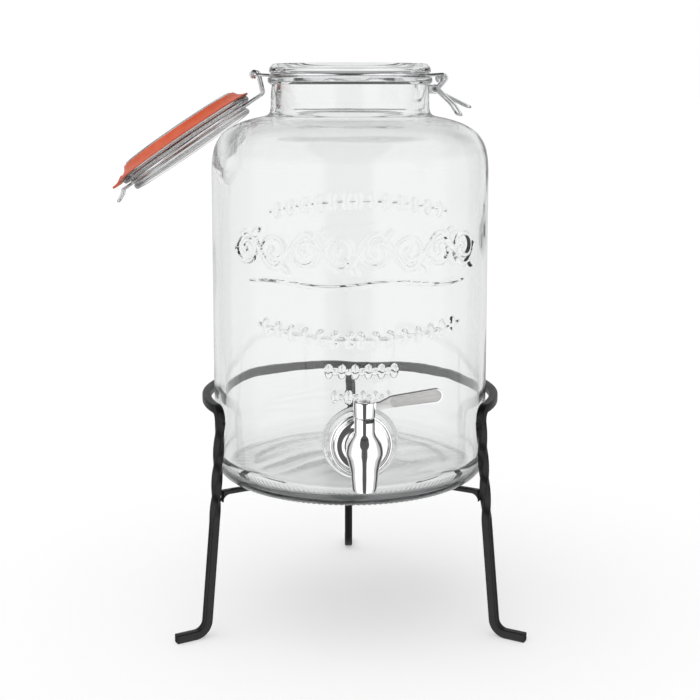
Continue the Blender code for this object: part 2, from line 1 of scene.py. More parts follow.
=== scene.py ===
"""The looks of the glass drinks jar on its twisted bar stand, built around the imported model.

Outlines and paths are in millimetres from the jar's axis and the surface that the stand is on, or from a
piece's own pivot where its function says so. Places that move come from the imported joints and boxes.
"""

import json
import math

import bmesh
import bpy
import numpy as np
from mathutils import Matrix, Vector


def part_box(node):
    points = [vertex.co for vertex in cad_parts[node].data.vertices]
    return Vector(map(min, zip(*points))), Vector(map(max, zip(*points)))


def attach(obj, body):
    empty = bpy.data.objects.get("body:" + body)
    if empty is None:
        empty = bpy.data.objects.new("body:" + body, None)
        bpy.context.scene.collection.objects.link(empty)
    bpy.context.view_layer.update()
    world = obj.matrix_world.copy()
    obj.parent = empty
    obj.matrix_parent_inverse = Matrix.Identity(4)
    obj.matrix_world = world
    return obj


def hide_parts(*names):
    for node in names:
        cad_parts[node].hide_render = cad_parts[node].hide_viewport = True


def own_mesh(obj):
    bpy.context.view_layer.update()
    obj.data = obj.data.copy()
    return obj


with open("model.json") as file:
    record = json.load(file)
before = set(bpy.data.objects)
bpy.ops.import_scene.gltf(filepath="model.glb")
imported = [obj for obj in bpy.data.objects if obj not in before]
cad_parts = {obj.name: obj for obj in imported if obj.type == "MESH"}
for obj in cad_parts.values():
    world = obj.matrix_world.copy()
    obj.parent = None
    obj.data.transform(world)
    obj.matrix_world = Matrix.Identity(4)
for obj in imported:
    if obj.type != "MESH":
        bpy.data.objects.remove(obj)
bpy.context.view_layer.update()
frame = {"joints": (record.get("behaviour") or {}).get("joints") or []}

MM = 0.001
JOINTS = {joint["name"]: joint for joint in frame["joints"]}


def joint_place(name):
    return Vector(JOINTS[name]["pos_m"])


jar_low, jar_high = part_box("glass_jar")
JAR_RADIUS = (jar_high.x - jar_low.x) / 2.0 / MM
AXIS = Vector(((jar_low.x + jar_high.x) / 2.0, jar_high.y - JAR_RADIUS * MM, 0.0))
JAR_BOTTOM = jar_low.z / MM
RIM_TOP = jar_high.z / MM

SPOUT_AXIS = joint_place("tap_turn") - AXIS
TAP_TURN = math.atan2(SPOUT_AXIS.x, -SPOUT_AXIS.y)
SPOUT_REACH = Vector((SPOUT_AXIS.x, SPOUT_AXIS.y)).length / MM
TAP_HEIGHT = SPOUT_AXIS.z / MM

HINGE = joint_place("lid_hinge")
LID_OPEN = math.radians(JOINTS["lid_hinge"]["range_deg"][1])
LATCH_BAR = joint_place("clamp_lever_pivot")
LINK_PIVOT = joint_place("clamp_link_pivot")
HINGE_REACH = (AXIS.x - HINGE.x) / MM
STAND_TURN = math.radians(0.6)

IN_JAR = Matrix.Translation(AXIS)
IN_STAND = IN_JAR @ Matrix.Rotation(STAND_TURN, 4, "Z")
IN_TAP = IN_JAR @ Matrix.Rotation(TAP_TURN, 4, "Z")
ON_SPOUT = IN_TAP @ Matrix.Translation((0.0, -SPOUT_REACH * MM, 0.0))
ON_SHANK = (IN_TAP @ Matrix.Translation((0.0, 0.0, TAP_HEIGHT * MM))
            @ Matrix.Rotation(math.radians(90.0), 4, "X"))
IN_LID = Matrix.Translation(HINGE) @ Matrix.Rotation(-LID_OPEN, 4, "Y")


# Materials ------------------------


class Nodes:
    """A material's node tree, with short calls to add and join nodes."""

    def __init__(self, name):
        self.material = bpy.data.materials.new(name)
        self.material.use_nodes = True
        self.tree = self.material.node_tree
        self.shader = self.tree.nodes["Principled BSDF"]
        self.output = self.tree.nodes["Material Output"]
        self.place = self.tree.nodes.new("ShaderNodeTexCoord").outputs["Object"]

    def add(self, kind, **inputs):
        node = self.tree.nodes.new(kind)
        for key, value in inputs.items():
            node.inputs[key.replace("_", " ")].default_value = value
        return node

    def join(self, source, target):
        self.tree.links.new(source, target)

    def set(self, **values):
        for key, value in values.items():
            self.shader.inputs[key.replace("_", " ")].default_value = value

    def noise(self, scale, detail=3.0, stretch=None):
        node = self.add("ShaderNodeTexNoise", Scale=scale, Detail=detail)
        place = self.place
        if stretch:
            mapping = self.add("ShaderNodeMapping", Scale=stretch)
            self.join(place, mapping.inputs["Vector"])
            place = mapping.outputs["Vector"]
        self.join(place, node.inputs["Vector"])
        return node.outputs["Fac"]

    def span(self, source, low, high, start=0.3, end=0.7):
        """Maps a 0 to 1 pattern to a range of values."""
        node = self.add("ShaderNodeMapRange", From_Min=start, From_Max=end, To_Min=low, To_Max=high)
        self.join(source, node.inputs["Value"])
        return node.outputs["Result"]

    def blend(self, source, first, second, start=0.3, end=0.7):
        """Colour that runs from one to the other with a pattern."""
        ramp = self.tree.nodes.new("ShaderNodeValToRGB")
        for element, position, colour in zip(ramp.color_ramp.elements, (start, end), (first, second)):
            element.position = position
            element.color = (*colour, 1.0)
        self.join(source, ramp.inputs["Fac"])
        return ramp.outputs["Color"]

    def colour(self, source):
        self.join(source, self.shader.inputs["Base Color"])

    def rough(self, source):
        self.join(source, self.shader.inputs["Roughness"])

    def bump(self, source, strength, distance):
        node = self.add("ShaderNodeBump", Strength=strength, Distance=distance)
        self.join(source, node.inputs["Height"])
        self.join(node.outputs["Normal"], self.shader.inputs["Normal"])


STIPPLE_REACH, STIPPLE_TOP, STIPPLE_ROUGHNESS = 416.0 * MM, (JAR_BOTTOM + 12.5) * MM, 0.3


def clear_glass():
    """Pressed soda-lime glass: faint ripples, a cool grey tint and a stippled underside. The stipple covers
    all glass in a sphere whose top is between the underside and the inner floor."""
    m = Nodes("clear_glass")
    m.set(Transmission_Weight=1.0, IOR=1.5, Specular_IOR_Level=0.95)
    below = m.tree.nodes.new("ShaderNodeVectorMath")
    below.operation = "DISTANCE"
    below.inputs[1].default_value = AXIS + Vector((0.0, 0.0, STIPPLE_TOP - STIPPLE_REACH))
    m.join(m.place, below.inputs[0])
    m.rough(m.span(below.outputs["Value"], STIPPLE_ROUGHNESS, 0.0, STIPPLE_REACH - 0.4 * MM, STIPPLE_REACH))
    m.colour(m.blend(m.noise(9.0), (0.935, 0.94, 0.94), (0.95, 0.954, 0.954)))
    m.bump(m.noise(55.0, 1.5), 0.12, 0.0006)
    tint = m.add("ShaderNodeVolumeAbsorption", Color=(0.775, 0.795, 0.795, 1.0), Density=16.0)
    m.join(tint.outputs["Volume"], m.output.inputs["Volume"])
    return m.material


LOOKS = {"clear_glass": clear_glass()}


def surface(name, colours, colour_noise, roughness, rough_noise, bump, bump_noise, **values):
    """An opaque material in which colour, roughness and bump each vary with a noise of their own."""
    m = Nodes(name)
    m.set(**values)
    m.colour(m.blend(m.noise(*colour_noise), *colours))
    m.rough(m.span(m.noise(*rough_noise), *roughness))
    m.bump(m.noise(*bump_noise), *bump)
    LOOKS[name] = m.material


surface("polished_chrome", ((0.86, 0.86, 0.87), (0.91, 0.905, 0.9)), (40.0,), (0.035, 0.085), (320.0, 4.0),
        (0.05, 0.0002), (90.0, 2.0), Metallic=1.0)

# The matt panel in the tap's handle is bead-blasted nickel with a fine grain along the blade.
GRAIN = (900.0, 3.0, (0.25, 1.0, 1.0))
surface("brushed_grey", ((0.60, 0.595, 0.59), (0.72, 0.715, 0.71)), GRAIN, (0.42, 0.6), GRAIN,
        (0.25, 0.0001), GRAIN, Metallic=0.85)

# The flat sides of the lever are less mirror-like than the rest of the tap.
surface("satin_chrome", ((0.92, 0.92, 0.92), (0.95, 0.95, 0.945)), (60.0,), (0.42, 0.5), (600.0, 3.0),
        (0.08, 0.0001), (1200.0, 2.0), Metallic=1.0)

# Bright stainless wire has drawing marks.
surface("steel_wire", ((0.56, 0.56, 0.57), (0.70, 0.70, 0.71)), (120.0,), (0.07, 0.18), (700.0, 4.0),
        (0.15, 0.0001), (1500.0, 2.0), Metallic=1.0)

# The gasket's rubber is smooth but matt, with a slightly paler bloom.
surface("orange_rubber", ((0.58, 0.07, 0.018), (0.65, 0.105, 0.032)), (160.0, 5.0), (0.42, 0.6), (500.0, 4.0),
        (0.2, 0.0001), (1400.0, 3.0),
        Subsurface_Weight=0.12, Subsurface_Radius=(0.004, 0.0012, 0.0006), Sheen_Weight=0.15)

surface("black_rubber", ((0.014, 0.014, 0.015), (0.035, 0.035, 0.036)), (300.0, 4.0), (0.55, 0.8),
        (800.0, 3.0), (0.3, 0.0001), (2500.0, 2.0))

# Milky translucent silicone.
surface("clear_rubber", ((0.70, 0.71, 0.71), (0.82, 0.83, 0.83)), (260.0,), (0.35, 0.55), (900.0, 3.0),
        (0.15, 0.0001), (1800.0, 2.0),
        Transmission_Weight=0.35, IOR=1.41, Subsurface_Weight=0.3, Subsurface_Radius=(0.003, 0.003, 0.003))

# Powder coat on steel bar: fine orange peel, with a little dust-grey variation.
surface("satin_black_paint", ((0.0045, 0.0045, 0.005), (0.009, 0.009, 0.0095)), (70.0, 5.0), (0.26, 0.4),
        (420.0, 4.0), (0.35, 0.00012), (1500.0, 3.0), Specular_IOR_Level=0.28)


# Shapes ------------------------


def piece(name, shape, place, look, body, node=None, sharp=40.0):
    """Makes an object from (points in mm, faces), rides it on a body and hides the CAD node it stands for."""
    points, faces = shape
    mesh = bpy.data.meshes.new(name)
    mesh.from_pydata([tuple(place @ (Vector(p) * MM)) for p in points], [], [tuple(f) for f in faces])
    bm = bmesh.new()
    bm.from_mesh(mesh)
    bmesh.ops.recalc_face_normals(bm, faces=bm.faces)
    bm.to_mesh(mesh)
    bm.free()
    mesh.shade_smooth()
    if sharp:
        mesh.set_sharp_from_angle(angle=math.radians(sharp))
    made = bpy.data.objects.new(name, mesh)
    bpy.context.scene.collection.objects.link(made)
    for one in (look if isinstance(look, tuple) else (look,)):
        mesh.materials.append(LOOKS[one])
    if body:
        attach(made, body)
    if node:
        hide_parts(node)
    return made


def arc(centre, radius, start, end, steps):
    angles = [math.radians(start + (end - start) * i / steps) for i in range(steps + 1)]
    return [(centre[0] + radius * math.cos(a), centre[1] + radius * math.sin(a)) for a in angles]


def through(points, pieces):
    """A smooth curve through the points (Catmull-Rom), with so many pieces between each two."""
    p = [np.array(q, float) for q in points]
    p = [2 * p[0] - p[1], *p, 2 * p[-1] - p[-2]]
    curve = []
    for a, b, c, d in zip(p, p[1:], p[2:], p[3:]):
        for i in range(pieces):
            t = i / pieces
            curve.append(tuple(0.5 * (2 * b + (c - a) * t + (2 * a - 5 * b + 4 * c - d) * t * t
                                      + (3 * b - a - 3 * c + d) * t ** 3)))
    return curve + [tuple(p[-2])]


def rounded(points, bends, steps=6):
    """A path through 3-D points in which each inner corner is an arc of its own bend radius."""
    path = [Vector(points[0])]
    for before, corner, after, radius in zip(points, points[1:], points[2:], bends):
        back = (Vector(before) - Vector(corner)).normalized()
        ahead = (Vector(after) - Vector(corner)).normalized()
        turn = math.pi - back.angle(ahead)
        if radius <= 0.0 or turn < 0.01:
            path.append(Vector(corner))
            continue
        start = Vector(corner) + back * (radius * math.tan(turn / 2.0))
        centre = Vector(corner) + (back + ahead).normalized() * (radius / math.cos(turn / 2.0))
        spin = (start - centre).cross(-back)
        for i in range(steps + 1):
            path.append(centre + Matrix.Rotation(turn * i / steps, 3, spin) @ (start - centre))
    path.append(Vector(points[-1]))
    return path


def softened(outline, radius, steps=3):
    """A closed outline of (radius, height) points with every corner off the axis rounded a little."""
    soft = []
    count = len(outline)
    for i, corner in enumerate(outline):
        before, after = outline[i - 1], outline[(i + 1) % count]
        if corner[0] < 1e-6:
            soft.append(corner)
            continue
        reach = 0.45 * min(math.dist(corner, before), math.dist(corner, after))
        back = Vector(before) - Vector(corner)
        ahead = Vector(after) - Vector(corner)
        turn = math.pi - back.angle(ahead)
        bend = min(radius, reach / math.tan(turn / 2.0)) if turn > 0.02 else 0.0
        ends = [(*before, 0.0), (*corner, 0.0), (*after, 0.0)]
        soft += [(p.x, p.y) for p in rounded(ends, (bend,), steps)[1:-1]]
    return soft


def turned(outline, steps=96):
    """A closed outline of (radius, height) points turned about Z."""
    points, faces, rings = [], [], []
    for radius, height in outline:
        first = len(points)
        if radius < 1e-6:
            points.append((0.0, 0.0, height))
            rings.append([first] * steps)
            continue
        for i in range(steps):
            a = 2.0 * math.pi * i / steps
            points.append((radius * math.cos(a), radius * math.sin(a), height))
        rings.append(list(range(first, first + steps)))
    for ring, above in zip(rings, rings[1:] + rings[:1]):
        for i in range(steps):
            j = (i + 1) % steps
            corners = list(dict.fromkeys((ring[i], ring[j], above[j], above[i])))
            if len(corners) > 2:
                faces.append(corners)
    return points, faces


def between(here, there, count):
    """The faces that join two loops of points, by the number of each loop's first point."""
    return [(here + i, here + (i + 1) % count, there + (i + 1) % count, there + i) for i in range(count)]


def swept(path, section, sides, closed=False):
    """Carries a section along a path. sides gives the section's first direction at each point."""
    points, faces = [], []
    count, last = len(section), len(path) - 1
    for index, point in enumerate(path):
        before = path[index - 1] if index or closed else point
        after = path[(index + 1) % len(path)] if index < last or closed else point
        along = ((point - before).normalized() + (after - point).normalized()).normalized()
        side = sides[index] - along * sides[index].dot(along)
        side.normalize()
        up = along.cross(side)
        points += [tuple(point + side * u + up * v) for u, v in section]
    for index in range(len(path) if closed else last):
        here, there = index * count, (index + 1) % len(path) * count
        faces += between(here, there, count)
    if not closed:
        faces += [tuple(range(count)), tuple(range(last * count, (last + 1) * count))]
    return points, faces


def wire(path, radius=1.0, sides=14):
    """A round wire with flat end faces; its section is carried along with no twist."""
    fine = [path[0]]
    for there in path[1:]:
        if (there - fine[-1]).length > 1e-4:
            fine.append(there)
    carried, side = [], Vector((0.31, 0.87, 0.39))
    for index in range(len(fine)):
        before, after = fine[max(0, index - 1)], fine[min(len(fine) - 1, index + 1)]
        along = (after - before).normalized()
        side = (side - along * side.dot(along)).normalized()
        carried.append(side.copy())
    section = [(radius * math.cos(2 * math.pi * i / sides), radius * math.sin(2 * math.pi * i / sides))
               for i in range(sides)]
    return swept(fine, section, carried)


def symmetric_wire(half):
    """A wire from one of its ends to the XZ plane, and then the same on the plane's other side."""
    return wire(half + [Vector((p.x, -p.y, p.z)) for p in reversed(half[:-1])])


def cut(target, shape, place, operation="DIFFERENCE"):
    """Applies a Boolean with another shape to a finished piece."""
    tool = piece("cutting_tool", shape, place, "black_rubber", None, sharp=0.0)
    modifier = target.modifiers.new("cut", "BOOLEAN")
    modifier.operation = operation
    modifier.solver = "EXACT"
    modifier.object = tool
    bpy.context.view_layer.update()
    result = bpy.data.meshes.new_from_object(target.evaluated_get(bpy.context.evaluated_depsgraph_get()))
    target.modifiers.clear()
    old, target.data = target.data, result
    bpy.data.meshes.remove(old)
    bpy.data.objects.remove(tool)
    return target


def settle(made, sharp, body, node):
    """Gives a piece that has been cut its sharp edges and body, and hides its CAD node."""
    made.data.set_sharp_from_angle(angle=math.radians(sharp))
    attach(made, body)
    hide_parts(node)


def radial(azimuth):
    """Unit vector from the axis at an azimuth counted from -Y towards +X."""
    return Vector((math.sin(azimuth), -math.cos(azimuth), 0.0))


def smooth_step(value, start, end):
    t = np.clip((value - start) / (end - start), 0.0, 1.0)
    return t * t * (3.0 - 2.0 * t)


# Jar ------------------------

RELIEF = 1.75
RELIEF_EDGE = 1.1
BOSS_RADIUS, BOSS_FACE = 24.6, 103.5
SHANK_HOLE = 8.4
INNER_RADIUS = 96.0
HEEL_RIDGES, RIDGE_HEIGHT = 150, 0.55
WALL_RIPPLE, BASE_WAVE, BASE_TOP = 0.22, 0.45, 130.0


def vine():
    """A running scroll: a waving stem, a curl in each hollow that ends in a bud, and leaves between."""
    strokes = []
    middle, level, pitch, reach, curls = 6.0, 287.0, 24.0, 12.5, 8
    start = middle - pitch * (curls - 1) / 2.0
    along = [start - pitch * 0.55 + i * pitch * (curls + 0.1) / 160 for i in range(161)]
    stem = [(u, level + reach * 0.96 * math.cos(math.pi * (u - start) / pitch)) for u in along]
    widths = [1.55 * min(1.0, 0.35 + 0.08 * min(i, 160 - i)) for i in range(161)]
    strokes.append((stem, widths))
    for k in range(curls):
        turn = 1.0 if k % 2 == 0 else -1.0
        centre = (start + k * pitch, level)
        curl = []
        for i in range(40):
            t = i / 39
            angle = math.radians(-175.0 - 395.0 * t) * turn
            size = reach * 0.88 * (1.0 - t) ** 0.8 + 2.4 * t
            curl.append((centre[0] + size * math.cos(angle), centre[1] - size * math.sin(angle)))
        strokes.append((curl, [1.45 * (0.35 + 0.65 * min(1.0, 3.0 * i / 39)) for i in range(40)]))
        strokes.append(([curl[-1], (curl[-1][0] + 0.1, curl[-1][1])], [2.1, 2.1]))
        tip = (centre[0] + pitch * 0.5, level + turn * (reach + 2.5))
        root = (centre[0] + pitch * 0.22, level + turn * reach * 0.75)
        strokes.append(leaf(root, tip, 1.9))
    return strokes


def leaf(root, tip, width, bend=0.0):
    """A pointed leaf from one point to another, as a stroke that is widest in the middle."""
    line, widths = [], []
    across = (-(tip[1] - root[1]), tip[0] - root[0])
    for i in range(9):
        t = i / 8
        bow = bend * math.sin(math.pi * t)
        line.append((root[0] + (tip[0] - root[0]) * t + across[0] * bow,
                     root[1] + (tip[1] - root[1]) * t + across[1] * bow))
        widths.append(0.35 + (width - 0.35) * math.sin(math.pi * t) ** 0.8)
    return line, widths


def garland(middle, level, drop, half, count, size):
    """Pairs of leaves on a thin arched stem."""
    def height(u):
        return level - drop * ((u - middle) / half) ** 2

    strokes = [([(middle - half + i * half / 30, height(middle - half + i * half / 30)) for i in range(61)],
                [0.75] * 61)]
    for k in range(count):
        u = middle - half + (k + 0.5) * 2.0 * half / count
        lean = 0.45 * size * (1.0 if u < middle else -1.0)
        strokes.append(leaf((u, height(u) + 0.6), (u + lean, height(u) + size), 2.0, 0.08))
        strokes.append(leaf((u, height(u) - 0.6), (u + lean, height(u) - size), 2.0, -0.08))
    return strokes


def beads(middle, level, pitch, count, size):
    """A row of lozenges with a dot between each two."""
    strokes = []
    for k in range(count):
        u = middle + (k - (count - 1) / 2.0) * pitch
        strokes.append(leaf((u, level - size), (u, level + size), 1.5))
        if k:
            strokes.append(([(u - pitch / 2.0, level), (u - pitch / 2.0 + 0.1, level)], [0.95, 0.95]))
    return strokes


def ornament():
    """Generic raised decoration for the front of the jar, as strokes of (arc length, height) points."""
    strokes = vine()
    strokes += garland(7.0, 322.0, 8.5, 64.0, 13, 4.6)
    strokes += garland(9.0, 227.0, -8.0, 76.0, 15, 4.6)
    strokes += beads(8.0, 205.5, 9.0, 6, 3.4)
    strokes += beads(8.0, 188.0, 9.0, 5, 3.2)
    swash = [(-78.0 + i * 4.2, 264.5 + 1.6 * math.sin(i * 0.31)) for i in range(41)]
    strokes.append((swash, [1.3 * math.sin(math.pi * (i + 1) / 42) ** 0.5 for i in range(41)]))
    return strokes


def relief(strokes, u, z):
    """Height of the raised strokes on a grid of arc lengths u and heights z."""
    inside = np.full(u.shape, -9.0)
    for line, widths in strokes:
        line = np.array(line)
        reach = max(widths) + RELIEF_EDGE
        near = ((u > line[:, 0].min() - reach) & (u < line[:, 0].max() + reach)
                & (z > line[:, 1].min() - reach) & (z < line[:, 1].max() + reach))
        pu, pz = u[near], z[near]
        best = inside[near]
        for a, b, wa, wb in zip(line, line[1:], widths, widths[1:]):
            run = b - a
            t = np.clip(((pu - a[0]) * run[0] + (pz - a[1]) * run[1]) / (run @ run), 0.0, 1.0)
            away = np.hypot(pu - a[0] - t * run[0], pz - a[1] - t * run[1])
            best = np.maximum(best, wa + (wb - wa) * t - away)
        inside[near] = best
    return RELIEF * smooth_step(inside, -RELIEF_EDGE / 2.0, RELIEF_EDGE / 2.0)


def jar_sections():
    """The glass's outline in four runs: underside and heel, wall, shoulder to rim, and the inside."""
    heel = 14.0
    under = through([(0.0, 116.6), (30.0, 115.6), (50.0, 113.6), (66.0, 110.7), (73.0, 108.9),
                     (76.5, JAR_BOTTOM + 0.3)], 4)
    under += [(79.0, JAR_BOTTOM), (82.5, JAR_BOTTOM), (85.5, JAR_BOTTOM)]
    under += arc((JAR_RADIUS - heel, JAR_BOTTOM + heel), heel, -90.0, -4.0, 18)
    wall = [(JAR_RADIUS, z) for z in np.arange(JAR_BOTTOM + heel, 330.5, 0.9)]
    shoulder = through([(102.5, 331.5), (102.4, 338.0), (101.7, 346.5), (99.4, 355.6), (93.9, 364.0),
                        (84.5, 370.2), (73.0, 374.2), (63.6, 376.2)], 6)
    neck = through([(61.2, 377.0), (59.4, 378.9), (58.6, 382.5)], 3) + [(58.5, 386.0), (58.3, 393.0)]
    rim = softened([(58.1, 399.0), (60.6, 401.3), (60.6, 404.3), (58.4, 405.0), (58.4, 407.6), (59.6, 408.8),
                    (59.1, 411.6), (56.7, RIM_TOP), (50.4, RIM_TOP), (49.0, 413.0), (49.0, 409.5),
                    (51.5, 405.0)], 0.8)
    inside = through([(51.5, 400.0), (51.5, 390.0), (51.5, 381.5), (52.6, 376.4), (57.0, 373.0),
                      (69.0, 369.6), (80.0, 365.3), (88.4, 359.0), (93.5, 350.5), (95.6, 341.0),
                      (96.0, 333.0)], 5)
    inside += [(INNER_RADIUS, 333.0 - 7.0 * i) for i in range(1, 29)]
    inside += arc((INNER_RADIUS - 12.0, 116.8 + 12.0), 12.0, 0.0, -90.0, 14)
    inside += through([(80.0, 116.8), (70.0, 117.1), (56.0, 119.2), (40.0, 121.5), (20.0, 123.1),
                       (0.0, 123.6)], 4)
    return under, wall, shoulder + neck + rim, inside


def column_angles():
    """Azimuths of the glass's columns: close together at the front, where the relief is."""
    return np.radians(np.concatenate([np.arange(-72.0, 72.0, 0.5), np.arange(72.0, 288.0, 1.0)]))


def jar_shape():
    """The glass turned about its axis, with relief, tap boss, heel ridges, rippled inside and wavy base."""
    under, wall, upper, inside = jar_sections()
    outline = np.array(under + wall + upper + inside)
    azimuth = column_angles()
    radius = np.repeat(outline[:, :1], len(azimuth), axis=1)
    height = np.repeat(outline[:, 1:], len(azimuth), axis=1)
    turn = np.where(azimuth > math.pi, azimuth - 2.0 * math.pi, azimuth)
    a = np.repeat(turn[None, :], len(outline), axis=0)

    first, last = len(under), len(under) + len(wall)
    wall_a, wall_z = a[first:last], height[first:last]
    front = np.abs(wall_a) < math.radians(71.0)
    radius[first:last] += np.where(front, relief(ornament(), JAR_RADIUS * wall_a, wall_z), 0.0)
    off_tap = wall_a - TAP_TURN
    on_face = np.hypot(JAR_RADIUS * np.sin(off_tap), wall_z - TAP_HEIGHT)
    face = BOSS_FACE / np.maximum(0.2, np.cos(off_tap))
    on_boss = smooth_step(on_face, BOSS_RADIUS + 0.6, BOSS_RADIUS - 0.6)
    raised = np.where(np.abs(off_tap) < 0.5, face - radius[first:last], 0.0)
    radius[first:last] += raised * on_boss

    ring = smooth_step(outline[:first, 0], 77.0, 80.0) * smooth_step(outline[:first, 0], 99.0, 94.0)
    height[:first] += RIDGE_HEIGHT * ring[:, None] * (0.5 + 0.5 * np.cos(HEEL_RIDGES * a[:first]))
    start = last + len(upper)
    ripple = (np.sin(5.0 * a[start:] + 0.021 * height[start:]) * np.sin(0.055 * height[start:] + 1.0)
              + 0.6 * np.sin(11.0 * a[start:] - 0.04 * height[start:] + 0.7))
    radius[start:] += WALL_RIPPLE * ripple * smooth_step(outline[start:, 0], 40.0, 70.0)[:, None]

    x, y = radius * np.sin(a), radius * np.cos(a)
    flow = np.sin(0.17 * x + 0.05 * y + 1.0) * np.sin(0.11 * y - 0.03 * x) + 0.5 * np.sin(0.23 * y + 0.19 * x)
    height += BASE_WAVE * flow * smooth_step(radius, 80.0, 62.0) * (height < BASE_TOP)

    columns, rings = len(azimuth), len(outline) - 2
    points = np.stack([radius * np.sin(a), -radius * np.cos(a), height], -1)
    tips = np.array([(0.0, 0.0, outline[0, 1]), (0.0, 0.0, outline[-1, 1])])
    points = np.concatenate([points[1:-1].reshape(-1, 3), tips])
    low_tip, top_tip, top_ring = rings * columns, rings * columns + 1, (rings - 1) * columns
    faces = []
    for j in range(columns):
        k = (j + 1) % columns
        for here in range(0, top_ring, columns):
            faces.append((here + j, here + k, here + columns + k, here + columns + j))
        faces.append((low_tip, k, j))
        faces.append((top_tip, top_ring + j, top_ring + k))
    return points, faces


def build_jar():
    jar = piece("jar_glass", jar_shape(), IN_JAR, "clear_glass", None, sharp=0.0)
    hole = turned([(0.0, 80.0), (SHANK_HOLE, 80.0), (SHANK_HOLE, 112.0), (0.0, 112.0)], 64)
    cut(jar, hole, ON_SHANK)
    settle(jar, 70.0, "jar", "glass_jar")


# Stand ------------------------

BAR, BAR_CORNER = 6.35, 1.1
HOOP_RADIUS, HOOP_HEIGHT, HOOP_BEND = 108.4, 167.0, 7.0
LEGS = {"front_left": -60.0, "front_right": 60.0, "back": 180.0}
KNEE = (114.1, 83.0)
LEG_SLOPE = math.radians(5.3)
FOOT_BEND, FOOT_REACH = 10.0, 145.0
TWIST, TWIST_TOP, TWIST_BOTTOM = math.radians(270.0), 158.0, 86.0
GAP = 0.3


def bar_section():
    """A square with rounded corners."""
    flat = BAR / 2.0 - BAR_CORNER
    section = []
    for quarter in range(4):
        turn = math.radians(90.0 * quarter)
        corner = (flat * math.sqrt(2.0) * math.cos(turn - math.radians(45.0)),
                  flat * math.sqrt(2.0) * math.sin(turn - math.radians(45.0)))
        section += arc(corner, BAR_CORNER, 90.0 * quarter - 90.0, 90.0 * quarter, 4)
    return section


def hoop():
    """A ring open at the front, whose two ends bend down to the front legs."""
    start = math.radians(LEGS["front_right"]) + HOOP_BEND / HOOP_RADIUS
    steps = 180
    path, sides = [], []
    for i in range(steps + 1):
        azimuth = start + (2.0 * math.pi - 2.0 * start) * i / steps
        path.append(radial(azimuth) * HOOP_RADIUS + Vector((0.0, 0.0, HOOP_HEIGHT)))
        sides.append(radial(azimuth))
    bends = [(HOOP_BEND * math.sin(i * math.pi / 18.0), HOOP_BEND * (1.0 - math.cos(i * math.pi / 18.0)))
             for i in range(1, 10)] + [(HOOP_BEND, HOOP_BEND + 1.0)]
    for end, way in ((0, -1.0), (-1, 1.0)):
        ahead = Vector((0.0, 0.0, 1.0)).cross(sides[end]) * way
        down = [path[end] + ahead * forward - Vector((0.0, 0.0, drop)) for forward, drop in bends]
        path = down[::-1] + path if end == 0 else path + down
        sides = [sides[end]] * 10 + sides if end == 0 else sides + [sides[end]] * 10
    return swept(path, bar_section(), sides)


def leg(azimuth, top):
    """One leg: twisted where it hangs from the hoop, straight below its knee, bent out to a foot."""
    foot = BAR / 2.0
    corner = (KNEE[0] + (KNEE[1] - foot) * math.tan(LEG_SLOPE), foot)
    line = [(HOOP_RADIUS, top), KNEE, corner, (FOOT_REACH, foot)]
    bent = rounded([(r, 0.0, z) for r, z in line], (60.0, FOOT_BEND), 12)
    flat = [bent[0]]
    for here, there in zip(bent, bent[1:]):
        pieces = max(1, round((there - here).length / 1.5))
        flat += [here.lerp(there, (i + 1) / pieces) for i in range(pieces)]
    outward = radial(azimuth)
    tangent = Vector((0.0, 0.0, 1.0)).cross(outward)
    path = [outward * p.x + Vector((0.0, 0.0, p.z)) for p in flat]
    sides = []
    for index, point in enumerate(path):
        before, after = path[max(0, index - 1)], path[min(len(path) - 1, index + 1)]
        share = float(smooth_step(point.z, TWIST_TOP + 3.0, TWIST_BOTTOM - 3.0))
        linear = min(1.0, max(0.0, (TWIST_TOP - point.z) / (TWIST_TOP - TWIST_BOTTOM)))
        turn = TWIST * (0.85 * linear + 0.15 * share)
        sides.append(Matrix.Rotation(turn, 3, (after - before).normalized()) @ tangent)
    return swept(path, bar_section(), sides)


def support_arm(azimuth):
    """A short bar under the jar's heel, with a curved gusset where it meets the leg."""
    inner, outer, width, depth, gusset = 79.0, 107.7, 5.0, 3.2, 5.5
    top = JAR_BOTTOM - GAP
    under = top - depth
    outline = [(inner, top), (inner, under)]
    outline += arc((outer - gusset, under - gusset), gusset, 90.0, 12.0, 10)
    outline += [(outer, under - gusset), (outer, top)]
    outward = radial(azimuth)
    across = Vector((0.0, 0.0, 1.0)).cross(outward)
    return slab(outline, -width / 2.0, width / 2.0, 0.6,
                lambda u, v, d: outward * u + across * d + Vector((0.0, 0.0, v)))


def inset(outline, amount):
    """The outline moved inwards by an amount; the outline may run either way round."""
    count = len(outline)
    area = sum(outline[i - 1][0] * outline[i][1] - outline[i][0] * outline[i - 1][1] for i in range(count))
    inward = 1.0 if area > 0.0 else -1.0
    moved = []
    for i, here in enumerate(outline):
        before, after = outline[i - 1], outline[(i + 1) % count]
        one = Vector((here[0] - before[0], here[1] - before[1])).normalized()
        two = Vector((after[0] - here[0], after[1] - here[1])).normalized()
        normal = Vector((-one.y - two.y, one.x + two.x))
        normal = normal / max(0.3, normal.length_squared) * 2.0
        moved.append((here[0] + normal.x * amount * inward, here[1] + normal.y * amount * inward))
    return moved


